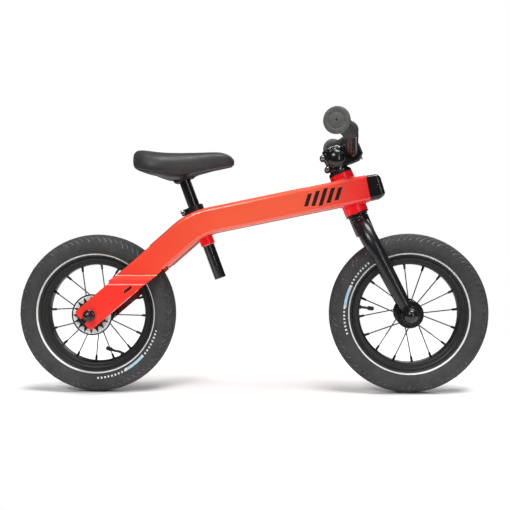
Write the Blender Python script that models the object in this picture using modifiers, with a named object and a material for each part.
"""Child's balance bike with 12 inch balloon tyres.

Metres, +Z up, +X forwards, +Y to the rider's left, so the drive side is at -Y.
The origin is on the ground, midway between the wheel axles.
"""

from math import cos, pi, radians, sin, tan

import bmesh
import bpy
from mathutils import Matrix, Vector

# Driving dimensions
WHEELBASE = 0.597
TYRE_R = 0.1515
GAP = 0.0003
WHEEL_STEPS = 40

HEAD_ANGLE = radians(67.5)
RAKE = 0.0166
HEAD_BOTTOM = 0.2133
HEAD_TOP = 0.2938
HEAD_R = 0.0225
STEERER_R = 0.0143
CROWN_R = 0.0184
CROWN_TOP = 0.2057
CROWN_BOTTOM = 0.170
LEG_Y = 0.040

SEAT_ANGLE = radians(70)
POST_R = 0.0111
POST_LENGTH = 0.206
POST_FOOT = Vector((-0.0607, 0, 0.2183))
SEAT_TUBE_R = 0.0135

BEAM_ANGLE = radians(11.35)
BEAM_HEIGHT = 0.050
BEAM_MIDDLE_Z = 0.34415
BEAM_FRONT = 0.2257
BEAM_HALF = 0.032
BEAM_WALL = 0.003
BEAM_REAR_ANGLE = radians(41)
BEAM_REAR_HEIGHT = 0.054
BEAM_REAR_SHIFT = 0.0015
BEND_TOP_R = 0.145
BEND_BOTTOM_R = 0.095
TYRE_ROOM_R = 0.168

SHOULDER_TOP = 0.2240
SHOULDER_BOTTOM = 0.2105
STAY_ANGLE = radians(40.3)
STAY_WIDTH = 0.0457
STAY_TIP = 0.017
STAY_OUTER = 0.055
STAY_THICK = 0.005

STEM_REACH = 0.0346
STEM_BOTTOM = 0.3026
STEM_TOP = 0.3440
STEM_HALF = 0.0215
PINCH_X = -0.0203
PINCH_S = (0.3108, 0.3341)
FACE_BOLT_S = 0.0158
BAR_S = 0.3237
BAR_R = 0.0111
GRIP_INNER = Vector((0.1910, 0.095, 0.4862))
GRIP_OUTER = Vector((0.1600, 0.204, 0.4885))

REAR_AXLE = Vector((-WHEELBASE / 2, 0, TYRE_R))
FRONT_AXLE = Vector((WHEELBASE / 2, 0, TYRE_R))
X, Y, Z = Vector((1, 0, 0)), Vector((0, 1, 0)), Vector((0, 0, 1))

# colour, roughness, metallic
FINISHES = {
    "frame_paint": ((0.90, 0.06, 0.02), 0.25, 0.0),
    "gloss_black": ((0.012, 0.012, 0.014), 0.2, 0.0),
    "black_plastic": ((0.025, 0.025, 0.027), 0.45, 0.0),
    "anodised_black": ((0.02, 0.02, 0.022), 0.35, 0.8),
    "steel": ((0.62, 0.62, 0.63), 0.3, 1.0),
    "tyre_rubber": ((0.06, 0.06, 0.062), 0.8, 0.0),
    "tube_rubber": ((0.03, 0.03, 0.03), 0.6, 0.0),
    "grip_rubber": ((0.075, 0.075, 0.075), 0.8, 0.0),
    "saddle_vinyl": ((0.045, 0.045, 0.048), 0.5, 0.0),
}


def clear_scene():
    for obj in list(bpy.data.objects):
        bpy.data.objects.remove(obj, do_unlink=True)


def new_collection(name):
    collection = bpy.data.collections.new(name)
    bpy.context.scene.collection.children.link(collection)
    return collection


def new_material(name, colour, roughness, metallic):
    made = bpy.data.materials.new(name)
    made.use_nodes = True
    shader = made.node_tree.nodes["Principled BSDF"]
    shader.inputs["Base Color"].default_value = (*colour, 1)
    shader.inputs["Roughness"].default_value = roughness
    shader.inputs["Metallic"].default_value = metallic
    return made


clear_scene()
BIKE = new_collection("balance_bike")
CUTTERS = new_collection("cutters")
MATERIALS = {name: new_material(name, *look) for name, look in FINISHES.items()}


# Places: matrices that put a shape's own axes into the bike


def place(origin, x_axis, z_axis):
    """Local Z along z_axis and local X towards x_axis, with the local origin at origin."""
    z_axis = z_axis.normalized()
    x_axis = (x_axis - z_axis * x_axis.dot(z_axis)).normalized()
    turn = Matrix((x_axis, z_axis.cross(x_axis), z_axis)).transposed()
    return Matrix.Translation(origin) @ turn.to_4x4()


def across(centre, side=1):
    """Local Z outwards along Y on this side, for turned shapes on a wheel axle."""
    return place(centre, X, Y * side)


HEAD_UP = Vector((-cos(HEAD_ANGLE), 0, sin(HEAD_ANGLE)))
HEAD_AHEAD = Vector((sin(HEAD_ANGLE), 0, cos(HEAD_ANGLE)))
SEAT_UP = Vector((-cos(SEAT_ANGLE), 0, sin(SEAT_ANGLE)))
SEAT_AHEAD = Vector((sin(SEAT_ANGLE), 0, cos(SEAT_ANGLE)))
HEAD = place(FRONT_AXLE - HEAD_AHEAD * RAKE, HEAD_AHEAD, HEAD_UP)
SEAT = place(POST_FOOT, SEAT_AHEAD, SEAT_UP)
SIDE_VIEW = place(Vector(), X, -Y)  # local X and Y are the bike's X and Z


# Outlines


def rounded(corners, steps=4, closed=True):
    """The points of an outline given as (corner, radius), its corners made arcs."""
    points = []
    for i, (corner, radius) in enumerate(corners):
        corner = Vector(corner)
        if radius == 0 or (not closed and i in (0, len(corners) - 1)):
            points.append(corner)
            continue
        before = (Vector(corners[i - 1][0]) - corner).normalized()
        after = (Vector(corners[(i + 1) % len(corners)][0]) - corner).normalized()
        half = before.angle(after) / 2
        centre = corner + (before + after).normalized() * (radius / sin(half))
        start = corner + before * (radius / tan(half)) - centre
        end = corner + after * (radius / tan(half)) - centre
        turn = pi - 2 * half
        for step in range(steps + 1):
            share = step / steps
            arc = start * sin((1 - share) * turn) + end * sin(share * turn)
            points.append(centre + arc / sin(turn))
    return points


def meet(point, direction, other, other_direction):
    """Where two lines in a plane cross."""
    cross = direction.x * other_direction.y - direction.y * other_direction.x
    gap = other - point
    share = (gap.x * other_direction.y - gap.y * other_direction.x) / cross
    return point + direction * share


def rectangle(left, right, low, high):
    return [Vector(corner) for corner in ((left, low), (left, high), (right, high), (right, low))]


def circle(radius, steps, centre=(0, 0)):
    turns = [2 * pi * i / steps for i in range(steps)]
    return [Vector((centre[0] + radius * cos(a), centre[1] + radius * sin(a))) for a in turns]


# Meshes


def curve_mesh(curve):
    """A curve's mesh with its caps welded on."""
    holder = bpy.data.objects.new(curve.name, curve)
    CUTTERS.objects.link(holder)
    bpy.context.view_layer.update()
    evaluated = holder.evaluated_get(bpy.context.evaluated_depsgraph_get())
    mesh = bpy.data.meshes.new_from_object(evaluated)
    bpy.data.objects.remove(holder, do_unlink=True)
    shape = bmesh.new()
    shape.from_mesh(mesh)
    bmesh.ops.remove_doubles(shape, verts=shape.verts, dist=1e-6)
    bmesh.ops.recalc_face_normals(shape, faces=shape.faces)
    flat = radians(0.05)
    bmesh.ops.dissolve_limit(shape, angle_limit=flat, verts=shape.verts, edges=shape.edges)
    shape.to_mesh(mesh)
    shape.free()
    return mesh


def plate_mesh(outline, thickness):
    """A flat outline in local XY, extruded evenly to both sides."""
    curve = bpy.data.curves.new("outline", "CURVE")
    curve.dimensions = "2D"
    curve.fill_mode = "BOTH"
    curve.extrude = thickness / 2
    spline = curve.splines.new("POLY")
    spline.points.add(len(outline) - 1)
    for point, corner in zip(spline.points, outline):
        point.co = (corner[0], corner[1], 0, 1)
    spline.use_cyclic_u = True
    return curve_mesh(curve)


def rod_mesh(points, radius, sides=12, radii=None):
    """A round bar along the points, its radius scaled by radii where given."""
    curve = bpy.data.curves.new("rod", "CURVE")
    curve.dimensions = "3D"
    curve.bevel_depth = radius
    curve.bevel_resolution = (sides - 4) // 2
    curve.use_fill_caps = True
    spline = curve.splines.new("POLY")
    spline.points.add(len(points) - 1)
    for i, point in enumerate(points):
        spline.points[i].co = (*point, 1)
        spline.points[i].radius = radii[i] if radii else 1
    return curve_mesh(curve)


def on_rim(a, b, half):
    """Whether an edge lies on one of the two faces of a plate this thick each way."""
    return abs(abs(a.z) - half) < 1e-6 and abs(a.z - b.z) < 1e-6


def bevelled(mesh, width, segments, chosen):
    """Rounds the edges for which chosen(a, b), of their two ends, is true."""
    shape = bmesh.new()
    shape.from_mesh(mesh)
    edges = [e for e in shape.edges if chosen(e.verts[0].co, e.verts[1].co)]
    bmesh.ops.bevel(shape, geom=edges, offset=width, segments=segments, profile=0.5, affect="EDGES")
    bmesh.ops.recalc_face_normals(shape, faces=shape.faces)
    shape.to_mesh(mesh)
    shape.free()
    return mesh


def loft_mesh(sections):
    """Joins closed sections of equal point count, given as lists of points."""
    shape = bmesh.new()
    rings = [[shape.verts.new(point) for point in section] for section in sections]
    count = len(rings[0])
    for ring, following in zip(rings, rings[1:]):
        for i in range(count):
            j = (i + 1) % count
            shape.faces.new((ring[i], ring[j], following[j], following[i]))
    shape.faces.new(reversed(rings[0]))
    shape.faces.new(rings[-1])
    bmesh.ops.recalc_face_normals(shape, faces=shape.faces)
    mesh = bpy.data.meshes.new("loft")
    shape.to_mesh(mesh)
    shape.free()
    return mesh


# Objects


def add(name, mesh, finish, where=None):
    """A part of the bike, or a cutter where finish is None. Its round faces shade smooth."""
    mesh.shade_smooth()
    mesh.set_sharp_from_angle(angle=radians(35))
    obj = bpy.data.objects.new(name, mesh)
    if finish:
        BIKE.objects.link(obj)
        mesh.materials.append(MATERIALS[finish])
    else:
        CUTTERS.objects.link(obj)
        obj.hide_render = True
        obj.display_type = "WIRE"
    obj.matrix_world = where or Matrix()
    return obj


def turned(name, profile, finish, where, steps=24, ring=False):
    """A profile of (radius, height) points, top to bottom on the outer side, turned about
    local Z. A ring's profile runs on up its inner side and closes."""
    mesh = bpy.data.meshes.new(name)
    edges = [(i, i + 1) for i in range(len(profile) - 1)]
    if ring:
        edges.append((len(profile) - 1, 0))
    mesh.from_pydata([(r, 0, h) for r, h in profile], edges, [])
    obj = add(name, mesh, finish, where)
    screw = obj.modifiers.new("turn", "SCREW")
    screw.axis = "Z"
    screw.steps = screw.render_steps = steps
    screw.use_merge_vertices = True
    screw.merge_threshold = 0.00001
    return obj


def cylinder(name, radius, low, high, finish, where, steps=24):
    profile = [(0, high), (radius, high), (radius, low), (0, low)]
    return turned(name, profile, finish, where, steps)


def tube(name, inner, outer, low, high, finish, where, steps=24):
    profile = [(inner, high), (outer, high), (outer, low), (inner, low)]
    return turned(name, profile, finish, where, steps, ring=True)


def plate(name, outline, thickness, finish, where):
    return add(name, plate_mesh(outline, thickness), finish, where)


def boolean(obj, other, operation):
    modifier = obj.modifiers.new(other.name, "BOOLEAN")
    modifier.operation = operation
    modifier.object = other
    modifier.solver = "EXACT"
    return obj


def cut(obj, *cutters):
    for cutter in cutters:
        boolean(obj, cutter, "DIFFERENCE")
    return obj


def join(obj, *others):
    for other in others:
        boolean(obj, other, "UNION")
    return obj


# Frame

BEAM_ALONG = Vector((cos(BEAM_ANGLE), sin(BEAM_ANGLE)))
BEAM_UP = Vector((-sin(BEAM_ANGLE), cos(BEAM_ANGLE)))
BEAM_CENTRE = Vector((0, BEAM_MIDDLE_Z))
REAR_ALONG = Vector((cos(BEAM_REAR_ANGLE), sin(BEAM_REAR_ANGLE)))
REAR_UP = Vector((-sin(BEAM_REAR_ANGLE), cos(BEAM_REAR_ANGLE)))
REAR_CENTRE = Vector((REAR_AXLE.x, REAR_AXLE.z)) + REAR_UP * BEAM_REAR_SHIFT
STAY_ALONG = Vector((cos(STAY_ANGLE), sin(STAY_ANGLE)))
STAY_UP = Vector((-sin(STAY_ANGLE), cos(STAY_ANGLE)))
BEAM_END = BEAM_CENTRE + BEAM_ALONG * BEAM_FRONT


def beam_outline(inset, past_front, rear_z):
    """The beam's side view, drawn in by inset, and cut level at rear_z behind."""
    front, rear = BEAM_HEIGHT / 2 - inset, BEAM_REAR_HEIGHT / 2 - inset
    level = Vector((0, rear_z))
    corners = []
    for sign, bend in ((1, BEND_TOP_R - inset), (-1, BEND_BOTTOM_R + inset)):
        end = BEAM_END + BEAM_UP * sign * front + BEAM_ALONG * past_front
        back = REAR_CENTRE + REAR_UP * sign * rear
        side = [
            (end, 0),
            (meet(end, BEAM_ALONG, back, REAR_ALONG), bend),
            (meet(back, REAR_ALONG, level, Vector((1, 0))), 0),
        ]
        corners += side if sign > 0 else side[::-1]
    return rounded(corners, steps=6)


def shoulder(name, side, finish, low, high):
    """The bar that steps a side wall out to the dropout's width, between two shares of
    its slope, drawn in a view from behind and as long as the frame's rear."""
    wall = BEAM_HALF - BEAM_WALL
    inner = STAY_OUTER - STAY_THICK
    drop = SHOULDER_TOP - SHOULDER_BOTTOM
    outside = Vector((BEAM_HALF, SHOULDER_TOP)), Vector((STAY_OUTER, SHOULDER_BOTTOM))
    inside = Vector((wall, SHOULDER_TOP - 0.004)), Vector((inner, SHOULDER_BOTTOM - 0.003))
    if low == 0:
        above = SHOULDER_TOP + 0.012
        corners = [
            (Vector((BEAM_HALF - 0.0002, above)), 0),
            (outside[0], 0.005),
            (outside[0].lerp(outside[1], high), 0),
            (inside[0].lerp(inside[1], high), 0),
            (inside[0], 0.003),
            (Vector((wall + 0.0002, above)), 0),
        ]
    else:
        foot = REAR_AXLE.z - 2 * drop - STAY_WIDTH
        corners = [
            (outside[0].lerp(outside[1], low), 0),
            (outside[1], 0.006),
            (Vector((STAY_OUTER, foot)), 0),
            (Vector((inner, foot)), 0),
            (inside[1], 0.004),
            (inside[0].lerp(inside[1], low), 0),
        ]
    outline = [Vector((side * y, z)) for y, z in rounded(corners, steps=3)]
    length = 0.22
    where = place(Vector((REAR_AXLE.x + 0.08, 0, 0)), Y, X)
    return plate(name, outline, length, finish, where)


def main_beam():
    outline = beam_outline(0, 0, SHOULDER_TOP - 0.001)
    end, low = BEAM_END, SHOULDER_TOP

    def along_the_beam(a, b):
        at_front = all((p.xy - end).dot(BEAM_ALONG) > -1e-5 for p in (a, b))
        at_rear = a.y < low and b.y < low
        return on_rim(a, b, BEAM_HALF) and not at_front and not at_rear

    mesh = plate_mesh(outline, 2 * BEAM_HALF)
    mesh = bevelled(mesh, 0.008, 4, along_the_beam)
    beam = add("main_beam", mesh, "frame_paint", SIDE_VIEW)
    inside_half = BEAM_HALF - BEAM_WALL
    inside = beam_outline(BEAM_WALL, 0.02, SHOULDER_TOP + 0.02)
    hollow_mesh = plate_mesh(inside, 2 * inside_half)
    hollow_mesh = bevelled(hollow_mesh, 0.005, 2, lambda a, b: on_rim(a, b, inside_half))
    hollow = add("beam_hollow", hollow_mesh, None, SIDE_VIEW)
    wheel_room = cylinder(
        "wheel_room", TYRE_ROOM_R, -inside_half, inside_half, None, across(REAR_AXLE), 96
    )
    cut(beam, hollow)
    for side, word in ((1, "left"), (-1, "right")):
        flare = shoulder(f"beam_flare_{word}", side, None, 0, 0.5)
        limit = plate(f"flare_limit_{word}", beam_outline(0.002, 0, 0.2), 0.2, None, SIDE_VIEW)
        boolean(flare, limit, "INTERSECT")
        join(beam, flare)
    head_hole = cylinder("head_hole", HEAD_R + GAP, 0.2, 0.3, None, HEAD, 36)
    seat_hole = cylinder("seat_hole", SEAT_TUBE_R + GAP, 0.05, 0.16, None, SEAT, 24)
    pin_hole = cylinder("pin_hole", 0.0016, -0.05, 0.05, None, across(Vector((-0.1663, 0, 0.2355))), 10)
    return cut(beam, wheel_room, head_hole, seat_hole, pin_hole)


def stay(side, word):
    made = shoulder(f"{word}_stay", side, "frame_paint", 0.512, 1)
    axle = Vector((REAR_AXLE.x, REAR_AXLE.z))
    half = STAY_WIDTH / 2
    upper, lower = axle + STAY_UP * half, axle - STAY_UP * half
    edge = meet(upper, STAY_ALONG, Vector((0, SHOULDER_BOTTOM + 0.001)), Vector((1, 0)))
    top = Vector((0, 0.24))
    corners = [
        (lower - STAY_ALONG * STAY_TIP, 0.003),
        (upper - STAY_ALONG * STAY_TIP, 0.003),
        (edge, 0.001),
        (Vector((edge.x, top.y)), 0),
        (meet(lower, STAY_ALONG, top, Vector((1, 0))), 0),
    ]
    limit = plate(f"stay_limit_{word}", rounded(corners, steps=3), 0.2, None, SIDE_VIEW)
    slot_half = 0.0053
    slot = [
        (axle + STAY_ALONG * along + STAY_UP * up, radius)
        for along, up, radius in (
            (-0.03, -slot_half, 0),
            (-0.03, slot_half, 0),
            (slot_half, slot_half, slot_half * 0.99),
            (slot_half, -slot_half, slot_half * 0.99),
        )
    ]
    slot_cutter = plate(f"dropout_slot_{word}", rounded(slot), 0.2, None, SIDE_VIEW)
    adjuster = plate(
        f"adjuster_slot_{word}", obround(Vector((-0.2267, 0.2000)), 0.0185, 0.0052, 36.5), 0.2,
        None, SIDE_VIEW,
    )
    boolean(made, limit, "INTERSECT")
    return cut(made, slot_cutter, adjuster)


def obround(centre, length, width, degrees):
    """A slot's outline: a rectangle with round ends."""
    along = Vector((cos(radians(degrees)), sin(radians(degrees))))
    up = Vector((-along.y, along.x))
    corners = [
        (centre + along * a * length / 2 + up * b * width / 2, width * 0.495)
        for a, b in ((-1, -1), (-1, 1), (1, 1), (1, -1))
    ]
    return rounded(corners)


def head_tube():
    return tube("head_tube", 0.0205, HEAD_R, HEAD_BOTTOM, HEAD_TOP, "frame_paint", HEAD, 36)


def seat_tube():
    return tube("seat_tube", POST_R + GAP, SEAT_TUBE_R, 0.0673, 0.1465, "frame_paint", SEAT, 24)


def headset_cup(name, edge, away):
    """A pressed-in cup whose flange covers the head tube's end, away being +1 upwards."""
    levels = (3.5, 0.3, 0.3, -9.0, -9.0, 3.5)
    radii = (0.0225, 0.0225, 0.0202, 0.0202, 0.0189, 0.0189)
    profile = [(r, edge + away * h / 1000) for r, h in zip(radii, levels)]
    turned(name, profile if away > 0 else profile[::-1], "anodised_black", HEAD, 28, ring=True)


def end_cap():
    """The plastic cap that closes the beam's front, drawn along and across the beam."""
    where = place(Vector((BEAM_END.x, 0, BEAM_END.y)), Vector((BEAM_ALONG.x, 0, BEAM_ALONG.y)), -Y)
    half, depth, width = 0.0238, 0.030, 0.0312
    corners = [
        ((GAP, -half), 0),
        ((GAP, half), 0),
        ((depth - 0.004, half - 0.001), 0.009),
        ((depth, -half + 0.006), 0.008),
        ((depth - 0.010, -half), 0.008),
    ]

    def past_the_joint(a, b):
        return on_rim(a, b, width) and max(a.x, b.x) > 0.001

    mesh = bevelled(plate_mesh(rounded(corners), 2 * width), 0.007, 3, past_the_joint)
    cap = add("beam_end_cap", mesh, "black_plastic", where)
    plug_half = BEAM_HALF - BEAM_WALL - 0.0006
    plug_mesh = plate_mesh(rectangle(-0.0065, 0.004, -0.0212, 0.0212), 2 * plug_half)
    plug_mesh = bevelled(plug_mesh, 0.005, 2, lambda a, b: on_rim(a, b, plug_half))
    join(cap, add("cap_plug", plug_mesh, None, where))
    spot = Vector((BEAM_END.x, 0, BEAM_END.y)) + Vector((BEAM_ALONG.x, 0, BEAM_ALONG.y)) * 0.0172
    for side, word in ((1, "left"), (-1, "right")):
        centre = across(spot, side)
        hole = [
            (0, 0.04), (0.0030, 0.04), (0.0030, 0.0292), (0.0018, 0.0292), (0.0018, 0.020), (0, 0.020),
        ]
        cut(cap, turned(f"cap_hole_{word}", hole, None, centre, 12))
        screw = [
            (0, 0.0318), (0.0024, 0.0314), (0.0026, 0.0296), (0.0014, 0.0296), (0.0014, 0.0205), (0, 0.0205),
        ]
        turned(f"end_cap_screw_{word}", screw, "steel", centre, 12)
    return cap


def seat_clamp():
    ring_low, ring_high = 0.1364, 0.1470
    lug_back, lug_half, bolt_x = -0.0275, 0.0070, -0.0232
    bore = SEAT_TUBE_R + GAP
    clamp = tube("seat_clamp", bore, 0.0168, ring_low, ring_high, "anodised_black", SEAT, 24)
    middle = SEAT @ Matrix.Translation((0, 0, (ring_low + ring_high) / 2))
    lug_outline = [
        ((lug_back, -lug_half), 0.002), ((lug_back, lug_half), 0.002),
        ((-0.0148, lug_half), 0), ((-0.0148, -lug_half), 0),
    ]
    lug = plate("clamp_lug", rounded(lug_outline), ring_high - ring_low, None, middle)
    slit = plate("clamp_slit", rectangle(-0.04, -0.010, -0.001, 0.001), 0.02, None, middle)
    spot = middle @ Matrix.Translation((bolt_x, 0, 0))
    bolt_place = place(spot.translation, SEAT_AHEAD, -Y)
    cut(join(clamp, lug), slit, cylinder("clamp_bolt_hole", 0.0028, -0.02, 0.02, None, bolt_place, 12))
    head, shank = 0.0044, 0.0025
    profile = [
        (0, 0.0112), (head * 0.8, 0.0112), (head, 0.0100), (head, 0.0073), (shank, 0.0073),
        (shank, -0.0073), (head, -0.0073), (head, -0.0095), (0, -0.0095),
    ]
    turned("seat_clamp_bolt", profile, "steel", bolt_place, 12)


def rear_axle_parts():
    cylinder("rear_axle", 0.0049, -0.067, 0.067, "steel", across(REAR_AXLE), 12)
    for side, word in ((1, "left"), (-1, "right")):
        where = across(REAR_AXLE, side)
        start = 0.030 if side > 0 else 0.041
        tube(f"rear_cone_{word}", 0.0052, 0.0090, start, 0.0497, "steel", where, 16)
        tube(f"rear_washer_{word}", 0.0053, 0.0115, 0.0553, 0.0570, "steel", where, 20)
        dome_nut(f"rear_nut_{word}", 0.0096, 0.0573, 0.0749, 0.0052, where)


def dome_nut(name, radius, low, high, bore, where):
    """A cap nut: a short round base, a dome, and a blind bore for the axle's end."""
    dome = [
        (radius * cos(radians(a)), high - radius * 0.9 * (1 - sin(radians(a)))) for a in (70, 45, 20, 0)
    ]
    profile = [(0, high), *dome, (radius, low), (bore, low), (bore, high - 0.0065), (0, high - 0.0060)]
    turned(name, profile, "gloss_black", where, 18)


# Seat

# x, half width, top z, edge z, height of the underside's arch
SADDLE_SECTIONS = (
    (-0.2235, 0.020, 0.4580, 0.4380, 0.000),
    (-0.2160, 0.044, 0.4640, 0.4230, 0.003),
    (-0.1980, 0.060, 0.4630, 0.4130, 0.008),
    (-0.1650, 0.063, 0.4590, 0.4100, 0.010),
    (-0.1350, 0.052, 0.4585, 0.4120, 0.009),
    (-0.1050, 0.037, 0.4595, 0.4180, 0.006),
    (-0.0750, 0.028, 0.4600, 0.4250, 0.004),
    (-0.0520, 0.023, 0.4575, 0.4300, 0.003),
    (-0.0385, 0.017, 0.4500, 0.4330, 0.002),
    (-0.0325, 0.010, 0.4440, 0.4370, 0.000),
)
COVER_SIDE = ((1.0, 0.0), (0.985, 0.45), (0.88, 0.78), (0.62, 0.95), (0.30, 1.0))
BASE_THICK = 0.003


def saddle_section(section, drop, rise, inset):
    """Half outline points of the saddle's edge and underside, mirrored left to right."""
    x, width, top, edge, arch = section
    width -= inset
    under = [(width * t, edge + drop + arch * (1 - t * t)) for t in (1, 0.6, 0.2)]
    over = [(width * a, edge + rise + (top - edge) * b) for a, b in COVER_SIDE]
    return x, under, over


def mirrored_ring(x, half):
    """A closed section from one half's (y, z) points, running from bottom to top."""
    return [Vector((x, y, z)) for y, z in half] + [Vector((x, -y, z)) for y, z in reversed(half)]


def saddle():
    cover, base = [], []
    for section in SADDLE_SECTIONS:
        x, under, over = saddle_section(section, 0, 0, 0)
        cover.append(mirrored_ring(x, under[::-1] + over[1:]))
    add("saddle_cover", loft_mesh(cover), "saddle_vinyl")
    for section in SADDLE_SECTIONS[1:-1]:
        x, under, _ = saddle_section(section, -3 * GAP, 0, 0.004)
        floor = [(y, z - BASE_THICK) for y, z in under]
        base.append(mirrored_ring(x, floor[::-1] + under))
    add("saddle_base", loft_mesh(base), "black_plastic")


def saddle_bracket():
    """The socket under the saddle that clamps the seat post's top."""
    bottom, half, width = 0.1987, 0.0180, 0.0150
    low = [(SEAT @ Vector((a, 0, bottom))).xz for a in (-half, half * 0.95)]
    top_z = 0.4150
    corners = [
        (low[0], 0.0015),
        (low[1], 0.0015),
        (Vector((low[1].x + 0.0010, top_z)), 0),
        (Vector((low[0].x - 0.0110, top_z)), 0),
    ]
    bracket = plate("saddle_bracket", rounded(corners), 2 * width, "black_plastic", SIDE_VIEW)
    bore = cylinder("bracket_bore", POST_R + GAP, 0.19, POST_LENGTH + 0.0008, None, SEAT, 24)
    return cut(bracket, bore)


def seat_post():
    return tube("seat_post", 0.0093, POST_R, 0, POST_LENGTH, "gloss_black", SEAT, 24)


# Steering


def leg_path(steps=5):
    """A fork leg's centre line in the head's axes: straight up, then in to the crown."""
    ahead = lambda s: RAKE * (1 - s / 0.187)
    corners = [
        (Vector((ahead(0.013), LEG_Y, 0.013)), 0),
        (Vector((ahead(0.162), LEG_Y, 0.162)), 0.030),
        (Vector((ahead(0.186), 0.010, 0.1905)), 0),
    ]
    return rounded(corners, steps, closed=False)


def fork_leg(side, word):
    """An oval leg, tapered towards a flat dropout with an open slot for the axle."""
    flatten = 0.62
    path = leg_path()
    swell = [0.0118 + (0.0152 - 0.0118) * min(point.z / 0.17, 1) for point in path]
    points = [Vector((p.x, side * p.y / flatten, p.z)) for p in path]
    mesh = rod_mesh(points, 1, sides=16, radii=swell)
    mesh.transform(Matrix.Diagonal((1, flatten, 1, 1)))
    leg = add(f"fork_leg_{word}", mesh, "gloss_black", HEAD)
    axle = across(FRONT_AXLE, side)
    boss = cylinder(f"dropout_{word}", 0.0170, 0.0383, 0.0430, None, axle, 32)
    slot_half = 0.0048
    slot_corners = [
        ((slot_half, slot_half), slot_half * 0.99),
        ((slot_half, -slot_half), slot_half * 0.99),
        ((-0.03, -slot_half), 0),
        ((-0.03, slot_half), 0),
    ]
    slot_place = place(FRONT_AXLE, HEAD_UP, -Y)
    slot = plate(f"fork_slot_{word}", rounded(slot_corners), 0.2, None, slot_place)
    crown_room = cylinder(f"crown_room_{word}", CROWN_R + GAP, 0.15, 0.25, None, HEAD, 32)
    top_room = cylinder(f"cup_room_{word}", 0.06, CROWN_TOP - 0.0005, 0.25, None, HEAD, 32)
    return cut(join(leg, boss), slot, crown_room, top_room)


def steerer_parts():
    tube("steerer", 0.0118, STEERER_R, 0.1939, 0.3415, "anodised_black", HEAD, 24)
    crown = [
        (0.0146, CROWN_TOP), (CROWN_R, CROWN_TOP), (CROWN_R, CROWN_BOTTOM), (0.0140, CROWN_BOTTOM),
        (0.0140, 0.1935), (0.0146, 0.1935),
    ]
    turned("fork_crown", crown, "gloss_black", HEAD, 28, ring=True)
    tube("crown_race", 0.0146, 0.0184, 0.2060, 0.2102, "steel", HEAD, 24)
    tube("lower_bearing", 0.0149, 0.0186, 0.2106, 0.2175, "steel", HEAD, 24)
    tube("upper_bearing", 0.0149, 0.0186, 0.2880, 0.2950, "steel", HEAD, 24)
    cover = [(0.0146, 0.3023), (0.0178, 0.3023), (0.0215, 0.2990), (0.0215, 0.2976), (0.0146, 0.2976)]
    turned("headset_cover", cover, "anodised_black", HEAD, 28, ring=True)
    cap = [(0.0045, 0.3478), (0.0130, 0.3474), (0.0172, 0.3455), (0.0172, 0.3443), (0.0045, 0.3443)]
    turned("top_cap", cap, "gloss_black", HEAD, 28, ring=True)
    bolt = [
        (0, 0.3488), (0.0030, 0.3488), (0.0041, 0.3478), (0.0041, 0.3455), (0.0025, 0.3445),
        (0.0025, 0.3250), (0, 0.3250),
    ]
    turned("top_cap_bolt", bolt, "steel", HEAD, 12)


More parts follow.
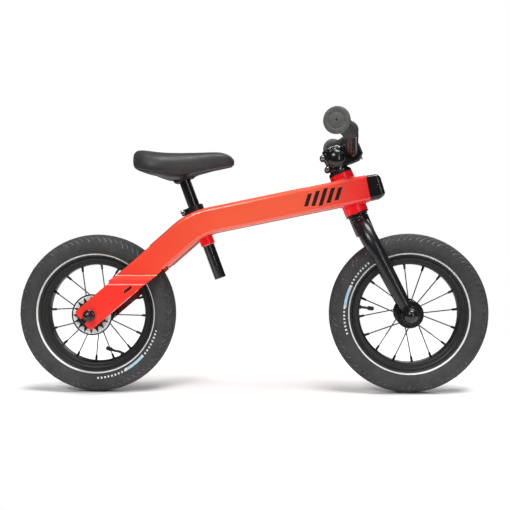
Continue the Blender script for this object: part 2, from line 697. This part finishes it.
def stem_parts():
    """The stem's clamps for steerer and bar, drawn in the head's side view."""
    view = HEAD @ Matrix.Rotation(pi / 2, 4, "X")
    stem = tube("stem", STEERER_R + GAP, 0.0180, STEM_BOTTOM, STEM_TOP, "gloss_black", HEAD, 24)
    split = STEM_REACH + 0.0008
    arm_corners = [
        ((0.0160, STEM_BOTTOM + 0.002), 0), ((split, BAR_S - 0.0205), 0.002),
        ((split, BAR_S + 0.0195), 0.002), ((0.0160, STEM_TOP - 0.002), 0),
    ]
    arm_mesh = plate_mesh(rounded(arm_corners, 2), 2 * STEM_HALF)

    def behind_the_split(a, b):
        return on_rim(a, b, STEM_HALF) and min(a.x, b.x) < split - 0.001

    arm = add("stem_arm", bevelled(arm_mesh, 0.005, 2, behind_the_split), None, view)
    join(stem, arm)
    for i, s in enumerate(PINCH_S):
        ear_place = place(HEAD @ Vector((PINCH_X, 0, s)), HEAD_AHEAD, -Y)
        outline = rounded([
            ((-0.0055, -0.0055), 0.0054), ((-0.0055, 0.0055), 0.0054),
            ((0.0100, 0.0055), 0), ((0.0100, -0.0055), 0),
        ])
        join(stem, plate(f"stem_ear_{i}", outline, 0.0240, None, ear_place))
    slit_outline = rectangle(-0.030, -0.012, STEM_BOTTOM - 0.01, STEM_TOP + 0.01)
    slit = plate("stem_slit", slit_outline, 0.0018, None, view)
    bore = cylinder("stem_bore", STEERER_R + GAP, 0.29, 0.36, None, HEAD, 24)
    bar_place = place(HEAD @ Vector((STEM_REACH, 0, BAR_S)), HEAD_AHEAD, -Y)
    bar_bore = cylinder("bar_bore", BAR_R + GAP, -0.03, 0.03, None, bar_place, 24)
    cut(stem, bore, slit, bar_bore)
    face_corners = [
        ((split + 0.0010, BAR_S - 0.0200), 0), ((0.0450, BAR_S - 0.0200), 0.004),
        ((0.0540, BAR_S - 0.0110), 0.004), ((0.0540, BAR_S + 0.0100), 0.004),
        ((0.0450, BAR_S + 0.0200), 0.004), ((split + 0.0010, BAR_S + 0.0200), 0),
    ]
    face_mesh = plate_mesh(rounded(face_corners, 2), 2 * STEM_HALF - 0.002)
    face = add("stem_faceplate", face_mesh, "gloss_black", view)
    cut(face, bar_bore)
    for i, s in enumerate(PINCH_S):
        where = place(HEAD @ Vector((PINCH_X, 0, s)), HEAD_AHEAD, -Y)
        cut(stem, cylinder(f"pinch_hole_{i}", 0.0028, -0.02, 0.02, None, where, 12))
        profile = [
            (0, 0.0155), (0.0030, 0.0155), (0.0040, 0.0148), (0.0040, 0.0123), (0.0025, 0.0123),
            (0.0025, -0.0123), (0.0040, -0.0123), (0.0040, -0.0145), (0, -0.0145),
        ]
        turned(f"pinch_bolt_{('lower', 'upper')[i]}", profile, "steel", where, 12)
    for up, word in ((1, "upper"), (-1, "lower")):
        where = place(HEAD @ Vector((0, 0, BAR_S + up * FACE_BOLT_S)), Y, HEAD_AHEAD)
        hole = [
            (0, 0.06), (0.0043, 0.06), (0.0043, 0.0465), (0.0026, 0.0465), (0.0026, 0.0240), (0, 0.0240),
        ]
        hole = turned(f"face_hole_{word}", hole, None, where, 12)
        cut(face, hole)
        cut(stem, hole)
        profile = [
            (0, 0.0500), (0.0034, 0.0500), (0.0040, 0.0494), (0.0040, 0.0468),
            (0.0022, 0.0468), (0.0022, 0.0245), (0, 0.0245),
        ]
        turned(f"faceplate_bolt_{word}", profile, "steel", where, 10)


def handlebar():
    """A riser bar swept back at the grips."""
    sweep = (GRIP_OUTER - GRIP_INNER).normalized()
    centre = HEAD @ Vector((STEM_REACH, 0, BAR_S))
    end = GRIP_OUTER - sweep * 0.0060
    bend = GRIP_INNER - sweep * 0.0240
    half = [
        (centre + Y * 0.034, 0.022),
        (bend, 0.026),
        (end, 0),
    ]
    right = [(Vector((c.x, -c.y, c.z)), r) for c, r in reversed(half)]
    path = rounded(right + half, 4, closed=False)
    bar = add("handlebar", rod_mesh(path, BAR_R, 16), "gloss_black")
    longer = [path[0] + (path[0] - path[1]).normalized() * 0.01, *path[1:-1]]
    longer.append(path[-1] + (path[-1] - path[-2]).normalized() * 0.01)
    return cut(bar, add("bar_hollow", rod_mesh(longer, 0.0091, 8), None))


def grip(side, word):
    """A rubber grip with a ribbed collar inboard and a big round flange outboard."""
    inner, outer = (Vector((p.x, side * p.y, p.z)) for p in (GRIP_INNER, GRIP_OUTER))
    length = (outer - inner).length
    where = place(inner, Z, outer - inner)
    bore, hole = BAR_R + GAP, 0.0015
    profile = [
        (hole, length), (0.0196, length), (0.0222, length - 0.0022), (0.0222, length - 0.0046),
        (0.0190, length - 0.0070), (0.0150, length - 0.0090), (0.0150, 0.0080), (0.0160, 0.0060),
        (0.0160, 0.0015), (0.0148, 0.0), (bore, 0.0), (bore, length - 0.0050), (hole, length - 0.0050),
    ]
    turned(f"grip_{word}", profile, "grip_rubber", where, 24, ring=True)


def front_axle_parts():
    cylinder("front_axle", 0.0045, -0.0530, 0.0530, "steel", across(FRONT_AXLE), 12)
    for side, word in ((1, "left"), (-1, "right")):
        where = across(FRONT_AXLE, side)
        tube(f"front_cone_{word}", 0.0048, 0.0085, 0.0285, 0.0380, "steel", where, 16)
        tube(f"front_washer_{word}", 0.0048, 0.0130, 0.0433, 0.0448, "steel", where, 20)
        dome_nut(f"front_nut_{word}", 0.0122, 0.0451, 0.0610, 0.0048, where)


# Wheels

TYRE_OUTER = (
    (0.1515, 0.0075), (0.1490, 0.0150), (0.1425, 0.0212), (0.1320, 0.0248), (0.1210, 0.0243),
    (0.1122, 0.0189), (0.1070, 0.0150), (0.1070, 0.0116),
)
TYRE_INNER = (
    (0.1003, 0.0112), (0.1003, 0.0085), (0.1100, 0.0130), (0.1230, 0.0212), (0.1400, 0.0190),
    (0.1480, 0.0090),
)
RIM_WELL = ((0.0955, 0.0060), (0.0995, 0.0116), (0.1065, 0.0120))
RIM_SIDE = ((0.1065, 0.0140), (0.0970, 0.0138), (0.0915, 0.0070))
INNER_TUBE_RING, INNER_TUBE_R = 0.1275, 0.0190
FLANGE = (0.0240, 0.0275)
SPOKE_R, SPOKE_RING, SPOKE_END = 0.0010, 0.0225, 0.0912


def wheel_ring(name, half, finish, centre):
    """A turned ring, its profile's one half running from the middle plane on the tyre's
    side outwards and back in on the hub's side. It's a polygon with a flat facet at the
    bottom, the front, the top and the back."""
    flat = 1 / cos(pi / WHEEL_STEPS)
    profile = [(r * flat, h) for r, h in reversed(half)] + [(r * flat, -h) for r, h in half]
    where = across(centre) @ Matrix.Rotation(pi / WHEEL_STEPS, 4, "Z")
    return turned(name, profile, finish, where, WHEEL_STEPS, ring=True)


def polar(centre, radius, degrees, y=0.0):
    """A point in a wheel, its angle counted from ahead towards the top."""
    a = radians(degrees)
    return centre + Vector((radius * cos(a), y, radius * sin(a)))


def wheel(word, centre, valve_angle, valve_bend):
    """A wheel's tyre, inner tube and rim."""
    wheel_ring(f"{word}_tyre", TYRE_OUTER + TYRE_INNER, "tyre_rubber", centre)
    rim = wheel_ring(f"{word}_rim", RIM_WELL + RIM_SIDE, "anodised_black", centre)
    root, neck = polar(centre, 0.112, valve_angle), polar(centre, 0.086, valve_angle)
    tip = neck + polar(Vector(), 0.0185, valve_angle + 180 + valve_bend)
    hole_mesh = rod_mesh([root, polar(centre, 0.088, valve_angle)], 0.0040, 12)
    cut(rim, add(f"{word}_valve_hole", hole_mesh, None))
    section = [tuple(p) for p in reversed(circle(INNER_TUBE_R, 8, (INNER_TUBE_RING, 0)))]
    inner_tube = turned(
        f"{word}_inner_tube", section, "tube_rubber", across(centre), 28, ring=True
    )
    stem_path = rounded([(root, 0), (neck, 0.005), (tip, 0)], 3, closed=False)
    stem = add(f"{word}_valve_stem", rod_mesh(stem_path, 0.0031, 10), None)
    inside = circle(INNER_TUBE_R - 0.0016, 8, (INNER_TUBE_RING, 0))
    air = turned(
        f"{word}_air", [tuple(p) for p in reversed(inside)], None, across(centre), 28, ring=True
    )
    bore_path = [polar(centre, 0.118, valve_angle), *stem_path[1:], tip + (tip - neck)]
    bore = add(f"{word}_valve_bore", rod_mesh(bore_path, 0.0010, 8), None)
    cut(join(inner_tube, stem), air, bore)


def hub(word, centre, profile, first_spoke):
    """A hub shell with its sixteen spokes, in pairs that meet at the hub, one to each flange."""
    shell = turned(f"{word}_hub", profile, "anodised_black", across(centre), 24, ring=True)
    for i in range(16):
        flange = -1 if i % 2 == 0 else 1
        pair = first_spoke + 45 * (i // 2) + 11.25
        start = polar(centre, SPOKE_RING, pair, flange * sum(FLANGE) / 2)
        end = polar(centre, SPOKE_END, first_spoke + 22.5 * i, flange * 0.0015)
        spoke = add(f"{word}_spoke_{i}", rod_mesh([start, end], SPOKE_R, 4), None)
        join(shell, spoke)
    return shell


def hub_profile(right_end, left_end, right_r, left_r, axle_r):
    """The shell's ring profile from the left end (+Y) down to the right end (-Y)."""
    inner, outer = FLANGE
    flange_r, waist, seat_r = 0.0262, 0.0115, 0.0096
    return [
        (seat_r, left_end), (left_r, left_end), (left_r, outer), (flange_r, outer),
        (flange_r, inner), (waist, inner - 0.004), (waist, -inner + 0.004), (flange_r, -inner),
        (flange_r, -outer), (right_r, -outer), (right_r, -right_end), (seat_r, -right_end),
        (seat_r, -right_end + 0.009), (axle_r, -right_end + 0.0095),
        (axle_r, left_end - 0.0095), (seat_r, left_end - 0.009),
    ]


SPROCKET_TEETH = 16
SPROCKET_PITCH = 0.0127


def sprocket():
    """The freewheel's toothed ring on its round body."""
    pitch_r = SPROCKET_PITCH / (2 * sin(pi / SPROCKET_TEETH))
    tip, root, step = pitch_r + 0.0031, pitch_r - 0.0042, 2 * pi / SPROCKET_TEETH
    outline = []
    for tooth in range(SPROCKET_TEETH):
        for radius, share in ((root, -0.27), (tip, -0.07), (tip, 0.07), (root, 0.27)):
            angle = (tooth + share) * step
            outline.append(Vector((radius * cos(angle), radius * sin(angle))))
    middle = across(REAR_AXLE, -1) @ Matrix.Translation((0, 0, 0.0445))
    ring = plate("sprocket", outline, 0.0028, "anodised_black", middle)
    body = tube("freewheel_body", 0.0170 + GAP, 0.0235, 0.0407, 0.0475, None, across(REAR_AXLE, -1), 24)
    inside = cylinder("freewheel_bore", 0.0170 + GAP, 0.03, 0.06, None, across(REAR_AXLE, -1), 24)
    return join(cut(ring, inside), body)


def spoke_protector():
    profile = [
        (0.0173, 0.0396), (0.0370, 0.0386), (0.0385, 0.0400), (0.0398, 0.0394), (0.0398, 0.0378),
        (0.0370, 0.0374), (0.0173, 0.0384),
    ]
    turned("spoke_protector", profile, "steel", across(REAR_AXLE, -1), 36, ring=True)


main_beam()
head_tube()
seat_tube()
end_cap()
seat_clamp()
headset_cup("headset_cup_upper", HEAD_TOP, 1)
headset_cup("headset_cup_lower", HEAD_BOTTOM, -1)
rear_axle_parts()
saddle()
saddle_bracket()
seat_post()
steerer_parts()
stem_parts()
handlebar()
front_axle_parts()
for SIDE, WORD in ((1, "left"), (-1, "right")):
    stay(SIDE, WORD)
    fork_leg(SIDE, WORD)
    grip(SIDE, WORD)
wheel("front", FRONT_AXLE, 173, 0)
wheel("rear", REAR_AXLE, -58, -45)
hub("front", FRONT_AXLE, hub_profile(0.0320, 0.0320, 0.0140, 0.0140, 0.0060), -18.0)
hub("rear", REAR_AXLE, hub_profile(0.0475, 0.0340, 0.0170, 0.0140, 0.0064), -26.0)
sprocket()
spoke_protector()
